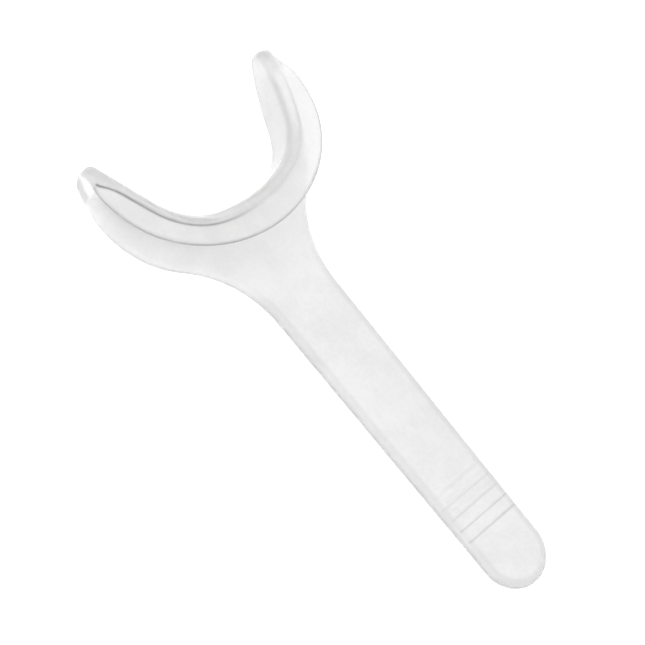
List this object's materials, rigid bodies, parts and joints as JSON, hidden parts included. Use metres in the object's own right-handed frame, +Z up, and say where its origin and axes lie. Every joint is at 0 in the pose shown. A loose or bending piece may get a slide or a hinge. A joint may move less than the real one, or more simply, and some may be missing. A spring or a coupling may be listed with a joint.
{
  "type": "cheek retractor",
  "caption": "Hand-held clear plastic cheek retractor: a C-shaped lip channel with an inner and an outer flange on a flat handle with a ribbed thumb grip",
  "frame": {"origin": "centre of the footprint, on the surface that the flat handle rests on", "axes": "+X along the handle towards its round end, +Y across the horns, +Z up from the underside towards the inner flange"},
  "size_m": [0.1398, 0.063, 0.0154],
  "materials": {
    "clear_plastic": "clear moulded plastic with a light frost, smooth rounded edges"
  },
  "bodies": {
    "root": {"handle": "clear_plastic", "neck": "clear_plastic", "outer_flange": "clear_plastic", "web": "clear_plastic", "inner_flange": "clear_plastic"}
  },
  "joints": []
}
